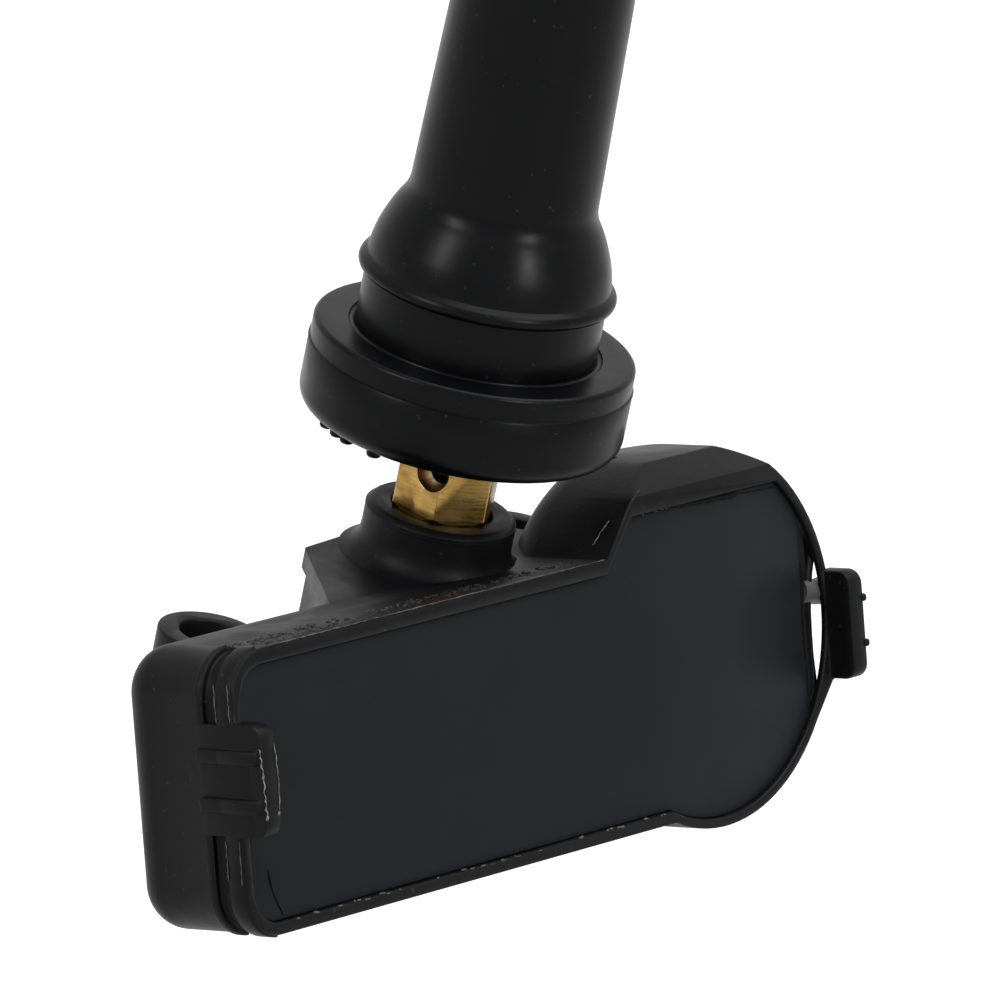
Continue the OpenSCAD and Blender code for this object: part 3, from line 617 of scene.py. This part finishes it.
def rubber_profile():
    """The rubber from its bore out over the flange, the neck and the shoulder to the tube's top."""
    wide = FLANGE_R + LIP_STEP
    return (
        [(INSERT_R, -FLANGE_H), (5.0, -FLANGE_H), (7.0, -FLANGE_H)]
        + arc(wide - FLANGE_ROUND, -FLANGE_H + FLANGE_ROUND, FLANGE_ROUND, -90, 0, 12)
        + [(wide, -3.2), (wide, -LIP_H - 0.10), (wide - 0.03, -LIP_H - 0.05), (wide + 0.03, -LIP_H - 0.015)]
        + [(wide + 0.02, -LIP_H + 0.015), (FLANGE_R, -LIP_H + 0.06), (FLANGE_R, -0.8)]
        + arc(FLANGE_R - 0.32, -0.32, 0.32, 0, 90, 6)
        + [(8.7, 0.0), (NECK_R + 2 * GROOVE_R + 0.06, 0.0)]
        + arc(NECK_R + GROOVE_R, 0.0, GROOVE_R, 0, -180, 8)
        + [(NECK_R, 0.15), (NECK_R, 1.6), (NECK_R, 3.1)]
        + arc(NECK_R, BEAD_Z, BEAD_R, -90, 62, 12)
        + shoulder_profile()
        + [(TUBE_R, SHOULDER_TOP), (TUBE_R - 0.07, 12.5), (TUBE_R - 0.2, 18.0), (TUBE_TOP_R + 0.02, 27.0)]
        + arc(TUBE_TOP_R - 0.55, RUBBER_TOP - 0.55, 0.55, 5, 90, 6)
        + [(INSERT_R, RUBBER_TOP)]
    )


def add_pip(turn):
    """A moulding pip under the flange, turned about the valve by degrees."""
    a = math.radians(turn)
    reach = FLANGE_R - FLANGE_ROUND + 0.1
    bpy.ops.object.select_all(action="DESELECT")
    place = Vector((reach * math.cos(a), reach * math.sin(a), -FLANGE_H + 0.05)) * MM
    bpy.ops.mesh.primitive_cylinder_add(vertices=20, radius=PIP_R * MM, depth=0.75 * MM, location=place)
    piece = bpy.context.object
    settle(piece)
    round_corners(piece, 0.22)
    return piece


rubber = joined([turned(rubber_profile())] + [add_pip(turn) for turn in PIP_TURNS])
smooth(rubber, 32)
dress(rubber, "moulded_rubber", RUBBER, "module", "valve_rubber")


# The brass stem with its thread, the core's plug, the cap and the screw

THREAD_PITCH = 0.79375
THREAD_DEPTH = 0.42
RIDGE_FOOT = 0.86
RIDGE_CREST = 0.16
STEPS_A_TURN = 48
TIP_R = 3.85
TIP_TOP = 37.5


def add_thread():
    """The ridge of the cap's thread, wound up the stem's tip."""
    bpy.ops.object.select_all(action="DESELECT")
    low = RUBBER_TOP + 0.5 * THREAD_PITCH
    middle = Vector((TIP_R - THREAD_DEPTH / 2, 0, low)) * MM
    bpy.ops.mesh.primitive_plane_add(size=1, location=middle, rotation=(math.radians(90), 0, 0))
    ridge = bpy.context.object
    ridge.scale = (THREAD_DEPTH * MM, THREAD_PITCH * RIDGE_FOOT * MM, 1)
    settle(ridge)
    edit(ridge, "VERT")
    bpy.ops.mesh.select_all(action="DESELECT")
    done()
    for vertex in ridge.data.vertices:
        vertex.select = vertex.co.x > middle.x
    edit(ridge, "VERT")
    bpy.ops.transform.resize(value=(1, 1, RIDGE_CREST), center_override=middle)
    bpy.ops.mesh.select_all(action="SELECT")
    bpy.ops.mesh.delete(type="ONLY_FACE")
    done()
    turns = int((TIP_TOP - 0.6 - low) / THREAD_PITCH)
    modify(
        ridge, "SCREW", axis="Z", angle=2 * math.pi, screw_offset=THREAD_PITCH * MM, iterations=turns,
        steps=STEPS_A_TURN, render_steps=STEPS_A_TURN, use_merge_vertices=True, merge_threshold=SAME_PLACE,
    )
    edit(ridge, "EDGE")
    bpy.ops.mesh.select_all(action="DESELECT")
    bpy.ops.mesh.select_non_manifold()
    bpy.ops.mesh.fill_holes(sides=8)
    done()
    tidy_skin(ridge)
    return ridge


def threaded_stem():
    """The stem with its tip turned down to the thread's root, and the ridge wound on it."""
    stem = softened("valve_stem", 0.07)
    root = 1 - THREAD_DEPTH / TIP_R
    for edge in stem.data.edges:
        edge.select = False
    for face in stem.data.polygons:
        face.select = False
    for vertex in stem.data.vertices:
        across = math.hypot(vertex.co.x, vertex.co.y)
        vertex.select = vertex.co.z > (RUBBER_TOP + 0.05) * MM and across > (TIP_R - 0.45) * MM
    edit(stem, "VERT")
    bpy.ops.transform.resize(value=(root, root, 1), center_override=(0, 0, 0))
    done()
    both = joined([stem, add_thread()])
    smooth(both, 36)
    return both


dress(threaded_stem(), "brass_stem", BRASS, "module", "valve_stem")
dress(softened("valve_cap", 0.10), "ribbed_cap", CAP_PLASTIC, "cap", "valve_cap")
dress(softened("retaining_screw", 0.07), "six_lobe_screw", ZINC, "module", "retaining_screw")
dress(softened("core_plug", 0.05), "core_plug_turned", CORE_BRASS, "module", "core_plug")


# The core's spring, a smoothed copy with a mesh of its own; the real spring shortens by the pin's travel onto
# its fixed lower end

wound_spring = merged_copy("core_spring")
smooth(wound_spring, 60)
dress(wound_spring, "wound_spring", BRIGHT_STEEL, "module", "core_spring")
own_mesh(wound_spring)


# The moulded housing

FLANK_ROUND = 0.55
HOUSING_ROUND = 0.14


def shaped_housing():
    """The moulding with its small rounds, and a wide round where the hump's flank meets its slope."""
    piece = merged_copy("housing")
    mesh = piece.data
    edit(piece, "EDGE")
    bpy.ops.mesh.select_all(action="DESELECT")
    done()
    for edge in mesh.edges:
        a, b = (in_module(mesh.vertices[i].co) for i in edge.vertices)
        low_x, high_x = sorted((a.x, b.x))
        low_y, high_y = sorted((a.y, b.y))
        low_z, high_z = sorted((a.z, b.z))
        on_flank = low_x > 8.0 and high_x < 12.6 and low_z > -10.2 and high_z < -7.9
        near_rim = low_y > -0.05 and high_y < 2.2
        edge.select = on_flank and near_rim and (a - b).length > 1.0
    edit(piece, "EDGE")
    bpy.ops.mesh.bevel(offset=FLANK_ROUND * MM, segments=4, affect="EDGES", clamp_overlap=True)
    done()
    round_edges(piece, HOUSING_ROUND * MM)
    smooth(piece, 40)
    return piece


dress(shaped_housing(), "housing_moulding", NYLON, "module", "housing")


# The poured compound

dress(softened("potting", 0.06), "poured_face", RESIN, "module", "potting")


# Small moulded forms at the collar, the band, the slit and the right tab

COLLAR_SKIRT = [
    (4.2, -11.25), (4.575, -11.25), (4.57, -12.4), (4.6, -12.95), (4.72, -13.4),
    (4.95, -13.78), (5.3, -14.05), (5.7, -14.19), (5.7, -14.3), (4.2, -14.3),
]
skirt = turned(COLLAR_SKIRT, 96)
smooth(skirt, 40)
dress(skirt, "collar_skirt", NYLON, "module")

# The band is closed under the left tab, and the tab's two ribs run on over it
band_fill = joined([
    bar((-28.87, -1.0, -23.55), (-28.2, 2.75, -16.95), 0.12),
    bar((-29.16, 0.3, -19.25), (-28.4, 2.85, -18.40), 0.14),
    bar((-29.16, 0.3, -22.10), (-28.4, 2.85, -21.25), 0.14),
])
dress(band_fill, "band_fill", NYLON, "module")

SLIT_SIDE = [
    (26.9, 0.85, -15.2), (26.6, 0.85, -15.9), (26.25, 0.85, -16.9), (26.0, 0.85, -17.9), (25.88, 0.85, -19.2),
    (25.86, 0.85, -20.6), (25.92, 0.85, -21.9), (26.12, 0.85, -23.2), (26.4, 0.85, -24.7),
]
SLIT_SIDE_THICK = [0.30, 0.34, 0.36, 0.36, 0.34, 0.32, 0.28, 0.22, 0.10]
slit_side = strand([at_module(*place) for place in SLIT_SIDE], SLIT_SIDE_THICK, 12)
smooth(slit_side, 60)
dress(slit_side, "slit_side", NYLON, "module")

SLIT_BRIDGE = [
    (25.3, 1.1, -18.0), (25.9, 1.1, -18.1), (26.6, 1.1, -18.2), (27.2, 1.1, -18.3), (27.7, 1.1, -18.3),
]
SLIT_BRIDGE_THICK = [0.95, 0.88, 0.78, 0.80, 0.86]
bridge = strand([at_module(*place) for place in SLIT_BRIDGE], SLIT_BRIDGE_THICK, 14)
smooth(bridge, 60)
dress(bridge, "slit_bridge", WEB, "module")

pips = [bar((27.9, -2.05, z - 0.24), (28.38, -1.55, z + 0.24), 0.16) for z in (-18.7, -21.5)]
dress(joined(pips), "tab_pips", NYLON, "module")


# Flash, splinters, crumbs and cracks, at places in the module, in mm. y is 0 at the front rim. The light
# flash and splinters are partly painted highlight of lit edges, and the black strands in gaps, cracks and
# beside the slit are painted shade.

TAB_OUTER = [
    (-29.02, -1.98, -18.2), (-28.95, -2.0, -19.1), (-28.86, -2.0, -20.0),
    (-28.84, -2.0, -21.2), (-28.76, -2.0, -22.3),
]
TAB_INNER = [
    (-27.7, -1.92, -17.8), (-27.58, -1.97, -19.0), (-27.52, -1.97, -20.2),
    (-27.55, -1.97, -21.4), (-27.65, -1.94, -22.4),
]
FLANK_FLASH = [(9.9, 0.15, -9.25), (8.9, 0.6, -9.9), (7.9, 0.9, -10.7), (7.0, 1.05, -11.4), (6.2, 1.1, -12.1)]
RAIL_LINES = [
    [(-28.87, 0.25, -14.6), (-28.87, 0.25, -16.8)], [(-28.87, 1.28, -14.6), (-28.87, 1.28, -16.9)],
    [(-28.87, 0.25, -23.8), (-28.87, 0.25, -26.4)], [(-28.87, 1.28, -23.8), (-28.87, 1.28, -26.2)],
]
FACE_CRACK = [(-26.45, 0.29, -25.9), (-26.3, 0.3, -26.8), (-25.95, 0.31, -27.7), (-25.4, 0.33, -28.7)]
HUMP_GAP = [(9.9, 0.28, -10.66), (13.0, 0.28, -10.76), (16.9, 0.28, -10.9), (19.4, 0.28, -11.0)]
HUMP_GAP_END = [(19.4, 0.28, -11.0), (23.3, 0.28, -11.12)]
HUMP_SEAM = [(13.3, 5.0, -8.04), (15.1, 5.0, -8.2), (17.0, 5.0, -8.47)]
TOP_EDGE = [(-25.2, 0.03, -12.87), (6.0, 0.03, -12.87)]
TAB_CHIPS = [(-28.85, -1.98, -19.9), (-28.76, -1.98, -22.3), (-27.7, -1.94, -22.2)]
SLIT_CHIPS = [(25.65, 0.3, -24.95), (25.3, 0.3, -25.5), (24.85, 0.3, -26.45)]
BOX_TOP = -12.93
BOX_FOOT = -29.05
ROUND_END_FOOT = -29.35

dice = random.Random(21)
# Flash along the left tab's edges and chips by the slit: torn flash, made lighter than the nylon as painted
# glints of the lit edges.
flash_and_glints = [
    torn_line(TAB_OUTER, thick=0.06, wander=0.05, count=26, seed=3),
    torn_line(TAB_INNER, thick=0.05, wander=0.03, count=26, seed=5),
]
flash_and_glints += [chip(place, (0.10, 0.06, 0.14), seed=i) for i, place in enumerate(TAB_CHIPS, 90)]
flash_and_glints += [chip(place, (0.09, 0.05, 0.16), seed=i) for i, place in enumerate(SLIT_CHIPS, 95)]
dress(joined(flash_and_glints), "mould_flash_and_painted_glints", FLASH_AND_GLINT, "module")

# Splinters along the flank, the top rim's front edge and the band's rails, and chips along the foot and the
# hump's gap: torn flash, made lighter than the nylon as painted highlight of the lit edges.
splinters_and_glints = [
    torn_line(FLANK_FLASH, thick=0.05, wander=0.03, count=24, seed=7),
    torn_line(TOP_EDGE, thick=0.05, wander=0.02, count=90, seed=8, thin=0.1),
]
splinters_and_glints += [
    torn_line(line, thick=0.045, wander=0.02, count=14, seed=i) for i, line in enumerate(RAIL_LINES, 50)
]
for i in range(34):
    x = dice.uniform(-25.5, 14.5)
    if x < 10:
        z = BOX_FOOT + dice.uniform(-0.05, 0.1)
    else:
        z = ROUND_END_FOOT - 0.10 * (x - 10) + dice.uniform(-0.05, 0.05)
    size = (dice.uniform(0.06, 0.26), 0.05, dice.uniform(0.04, 0.08))
    splinters_and_glints.append(chip((x, 0.05, z), size, seed=i + 1))
for i in range(12):
    place = (dice.uniform(9.8, 12.6), 0.2, HUMP_GAP[0][2] + dice.uniform(-0.14, 0.12))
    splinters_and_glints.append(chip(place, (dice.uniform(0.05, 0.12), 0.05, 0.05), seed=i + 40))
dress(joined(splinters_and_glints), "rim_splinters_and_painted_glints", SPLINTER_AND_GLINT, "module")

# A row of crumbs in front of the collar, a patch of them at the left, and one at the seam's end
crumbs = []
for i in range(110):
    x = dice.uniform(-14.0, 4.5)
    place = (x, 1.15 + dice.uniform(-0.25, 0.9) + 0.03 * abs(x), BOX_TOP)
    size = (dice.uniform(0.08, 0.30), dice.uniform(0.08, 0.24), dice.uniform(0.07, 0.14))
    crumbs.append(chip(place, size, seed=i + 100))
for i in range(80):
    place = (dice.uniform(-26.5, -16.0), dice.uniform(0.4, 2.6), BOX_TOP + 0.02)
    size = (dice.uniform(0.08, 0.28), dice.uniform(0.08, 0.24), 0.09)
    crumbs.append(chip(place, size, seed=i + 200))
crumbs.append(chip((17.3, 5.0, -8.6), (0.22, 0.18, 0.16), seed=300))
dress(joined(crumbs), "rim_crumbs", ROUGH_EDGE, "module")

# Painted shade: a black strand beside the slit stands for the shade on the slit's side wall, and black
# strands in the hump's gap, its seam and a crack in the face stand for the shade inside them.
SLIT_SHADE = [
    (25.2, 0.52, -16.2), (24.95, 0.52, -18.5), (24.9, 0.52, -21.0), (25.0, 0.52, -23.5), (24.7, 0.52, -26.2),
]
painted_shade_lines = [
    torn_line(SLIT_SHADE, thick=0.30, wander=0.02, count=24, seed=65, thin=0.85),
    torn_line(HUMP_GAP[:2], thick=0.075, wander=0.04, count=26, seed=61, thin=0.1),
    torn_line(HUMP_GAP[1:], thick=0.19, wander=0.02, count=22, seed=62, thin=0.45),
    torn_line(HUMP_GAP_END, thick=0.05, wander=0.02, count=18, seed=63, thin=0.3),
    torn_line(HUMP_SEAM, thick=0.09, wander=0.02, count=20, seed=64, thin=0.5),
    torn_line(FACE_CRACK, thick=0.055, wander=0.01, count=22, seed=17, thin=0.6),
]
dress(joined(painted_shade_lines), "painted_shade_strands", PAINTED_SHADE_BLACK, "module")


# The studio: lengths in metres, angles in degrees, lamps in watts

FLOOR_Z = -0.10
FLOOR_GREY = (0.30, 0.30, 0.30)
FLOOR_GLOW = 0.85
BACKDROP_GREY = (0.35, 0.35, 0.35)
BACKDROP_TURN = 53.97
BACKDROP_AWAY = 2.0
AIR_LIGHT = 0.17
VIEW_AZIMUTH = 53.9714
VIEW_ELEVATION = 19.9956
VIEW_ROLL = 11.3650
VIEW_DISTANCE = 0.72057
FOCAL_IN_FRAMES = 12.1264
SENSOR_MM = 36
# Where the frame's origin lies in the photograph, from the left and the top, in parts of its side
ORIGIN_ACROSS, ORIGIN_DOWN = 0.475693, 0.337836


def seen_rays(tree):
    """Gives 1 to the rays of the camera, of gloss and of clear pieces, and 0 to all others."""
    path = tree.nodes.new("ShaderNodeLightPath")
    seen = path.outputs["Is Camera Ray"]
    for kind in ("Is Glossy Ray", "Is Transmission Ray"):
        either = tree.nodes.new("ShaderNodeMath")
        either.operation = "MAXIMUM"
        tree.links.new(seen, either.inputs[0])
        tree.links.new(path.outputs[kind], either.inputs[1])
        seen = either.outputs[0]
    return seen


def stage_sheet(sheet, name, colour, glow_level, keeps_shadow):
    """Names a plain sheet of the studio and makes it white to the view. A floor keeps its shadow."""
    sheet.name = name
    material = bpy.data.materials.new(name)
    material.use_nodes = True
    tree = material.node_tree
    shader = tree.nodes["Principled BSDF"]
    shader.inputs["Base Color"].default_value = (*colour, 1)
    shader.inputs["Roughness"].default_value = 0.9
    glow = tree.nodes.new("ShaderNodeEmission")
    glow.inputs["Color"].default_value = (1, 1, 1, 1)
    glow.inputs["Strength"].default_value = glow_level
    white = glow.outputs["Emission"]
    if keeps_shadow:
        both = tree.nodes.new("ShaderNodeAddShader")
        tree.links.new(white, both.inputs[0])
        tree.links.new(shader.outputs["BSDF"], both.inputs[1])
        white = both.outputs["Shader"]
    mix = tree.nodes.new("ShaderNodeMixShader")
    tree.links.new(seen_rays(tree), mix.inputs["Fac"])
    tree.links.new(shader.outputs["BSDF"], mix.inputs[1])
    tree.links.new(white, mix.inputs[2])
    tree.links.new(mix.outputs["Shader"], tree.nodes["Material Output"].inputs["Surface"])
    sheet.data.materials.append(material)


def add_floor():
    """The pale floor under the object. It glows a little less than white, so that a shadow shows on it."""
    bpy.ops.mesh.primitive_plane_add(size=6, location=(0, 0, FLOOR_Z))
    stage_sheet(bpy.context.object, "studio_floor", FLOOR_GREY, FLOOR_GLOW, keeps_shadow=True)


def add_backdrop():
    """A white sheet far behind the object, which shows in its gloss at a low angle."""
    turn = math.radians(BACKDROP_TURN)
    away = Vector((math.sin(turn), math.cos(turn), 0))
    bpy.ops.mesh.primitive_plane_add(size=3.2, location=away * BACKDROP_AWAY + Vector((0, 0, 0.2)))
    sheet = bpy.context.object
    sheet.scale = (1, 0.26, 1)
    sheet.rotation_euler = away.to_track_quat("Z", "Y").to_euler()
    settle(sheet)
    stage_sheet(sheet, "studio_backdrop", BACKDROP_GREY, 1.0, keeps_shadow=False)


def add_softbox(name, azimuth, elevation, distance, width, height, power):
    """A softbox that faces the valve's foot. Azimuth is counted from +X towards +Y."""
    a, e = math.radians(azimuth), math.radians(elevation)
    away = Vector((math.cos(a) * math.cos(e), math.sin(a) * math.cos(e), math.sin(e)))
    data = bpy.data.lights.new(name, "AREA")
    data.shape = "RECTANGLE"
    data.size = width
    data.size_y = height
    data.energy = power
    lamp = bpy.data.objects.new(name, data)
    lamp.location = away * distance
    lamp.rotation_mode = "QUATERNION"
    lamp.rotation_quaternion = (-away).to_track_quat("-Z", "Y")
    scene.collection.objects.link(lamp)


def add_world():
    """The air: a soft light on the object, and white where the view meets it."""
    world = bpy.data.worlds.new("studio_air")
    scene.world = world
    world.use_nodes = True
    tree = world.node_tree
    tree.nodes.clear()
    out = tree.nodes.new("ShaderNodeOutputWorld")
    soft = tree.nodes.new("ShaderNodeBackground")
    soft.inputs["Color"].default_value = (1, 1, 1, 1)
    soft.inputs["Strength"].default_value = AIR_LIGHT
    white = tree.nodes.new("ShaderNodeBackground")
    white.inputs["Color"].default_value = (1, 1, 1, 1)
    white.inputs["Strength"].default_value = 1.0
    mix = tree.nodes.new("ShaderNodeMixShader")
    tree.links.new(seen_rays(tree), mix.inputs["Fac"])
    tree.links.new(soft.outputs["Background"], mix.inputs[1])
    tree.links.new(white.outputs["Background"], mix.inputs[2])
    tree.links.new(mix.outputs["Shader"], out.inputs["Surface"])


def add_camera():
    """The photograph's camera: left of the potted face, 20 degrees above it, leaning by 11.4 degrees."""
    az, el, roll = (math.radians(angle) for angle in (VIEW_AZIMUTH, VIEW_ELEVATION, VIEW_ROLL))
    per_frame = VIEW_DISTANCE / FOCAL_IN_FRAMES
    back = Vector((-math.sin(az) * math.cos(el), -math.cos(az) * math.cos(el), math.sin(el)))
    right = Vector((math.cos(az), -math.sin(az), 0))
    up = back.cross(right)
    leaning_right = right * math.cos(roll) + up * math.sin(roll)
    leaning_up = up * math.cos(roll) - right * math.sin(roll)
    shift = Vector(((ORIGIN_ACROSS - 0.5) * per_frame, (0.5 - ORIGIN_DOWN) * per_frame, -VIEW_DISTANCE))
    turn = Matrix((leaning_right, leaning_up, back)).transposed()
    data = bpy.data.cameras.new("photo_view")
    data.sensor_width = SENSOR_MM
    data.lens = FOCAL_IN_FRAMES * SENSOR_MM
    data.clip_start, data.clip_end = 0.05, 20
    camera = bpy.data.objects.new("photo_view", data)
    camera.matrix_world = Matrix.Translation(-(turn @ shift)) @ turn.to_4x4()
    scene.collection.objects.link(camera)
    scene.camera = camera


add_floor()
add_backdrop()
add_world()
add_camera()
add_softbox("overhead_box", azimuth=300, elevation=78, distance=0.9, width=0.9, height=0.9, power=11.0)
add_softbox("left_box", azimuth=165, elevation=26, distance=0.8, width=0.16, height=0.34, power=3.1)
add_softbox("right_box", azimuth=257, elevation=27, distance=0.8, width=0.12, height=0.30, power=3.0)
scene.view_settings.view_transform = "Standard"
